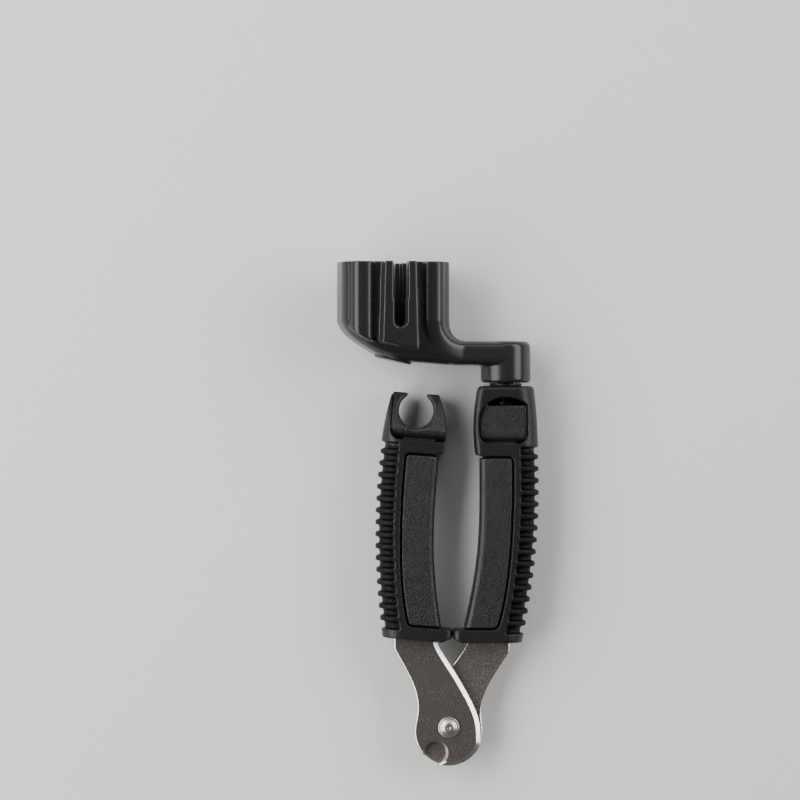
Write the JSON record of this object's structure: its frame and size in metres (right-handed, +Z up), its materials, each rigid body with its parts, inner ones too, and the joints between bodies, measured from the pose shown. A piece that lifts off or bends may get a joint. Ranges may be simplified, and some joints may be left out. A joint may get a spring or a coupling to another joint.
{
  "type": "string winder",
  "caption": "Hand tool for stringing guitars: winder crank with peg cup on one lever, bridge pin claw on the other, and riveted shear blades that cut string.",
  "frame": {"origin": "centre of the footprint of the closed tool lying on its back, on the surface it lies on", "axes": "+Z up out of the surface, +Y along the closed tool from the string cutter to the winder, +X to the side of the lever that carries the winder"},
  "size_m": [0.053, 0.1262, 0.0233],
  "materials": {
    "blade_steel": "tumbled, with ground bevels",
    "rivet_steel": "bright",
    "core_plastic": "fine leather grain",
    "sleeve_rubber": "smooth satin",
    "crank_plastic": "semi-gloss",
    "spindle_steel": "black oxide",
    "bush_plastic": "satin"
  },
  "bodies": {
    "right_lever": {"rear_blade": "blade_steel", "right_grip_core": "core_plastic", "right_grip_sleeve": "sleeve_rubber", "pivot_rivet": "rivet_steel", "pivot_washer": "rivet_steel", "spindle_bush": "bush_plastic"},
    "left_lever": {"front_blade": "blade_steel", "left_grip_core": "core_plastic", "left_grip_sleeve": "sleeve_rubber"},
    "crank": {"winder_crank": "crank_plastic", "crank_spindle": "spindle_steel", "spindle_clip": "spindle_steel"}
  },
  "joints": [
    {"name": "cutter_pivot", "type": "hinge", "parent": "right_lever", "child": "left_lever", "pos_m": [0.00604, -0.05353, 0.00625], "axis": [0, 0, 1], "range_deg": [0, 51]},
    {"name": "crank_swivel", "type": "hinge", "parent": "right_lever", "child": "crank", "pos_m": [0.017, 0.03375, 0.00625], "axis": [-0.0384, 0.9993, 0], "continuous": true}
  ]
}
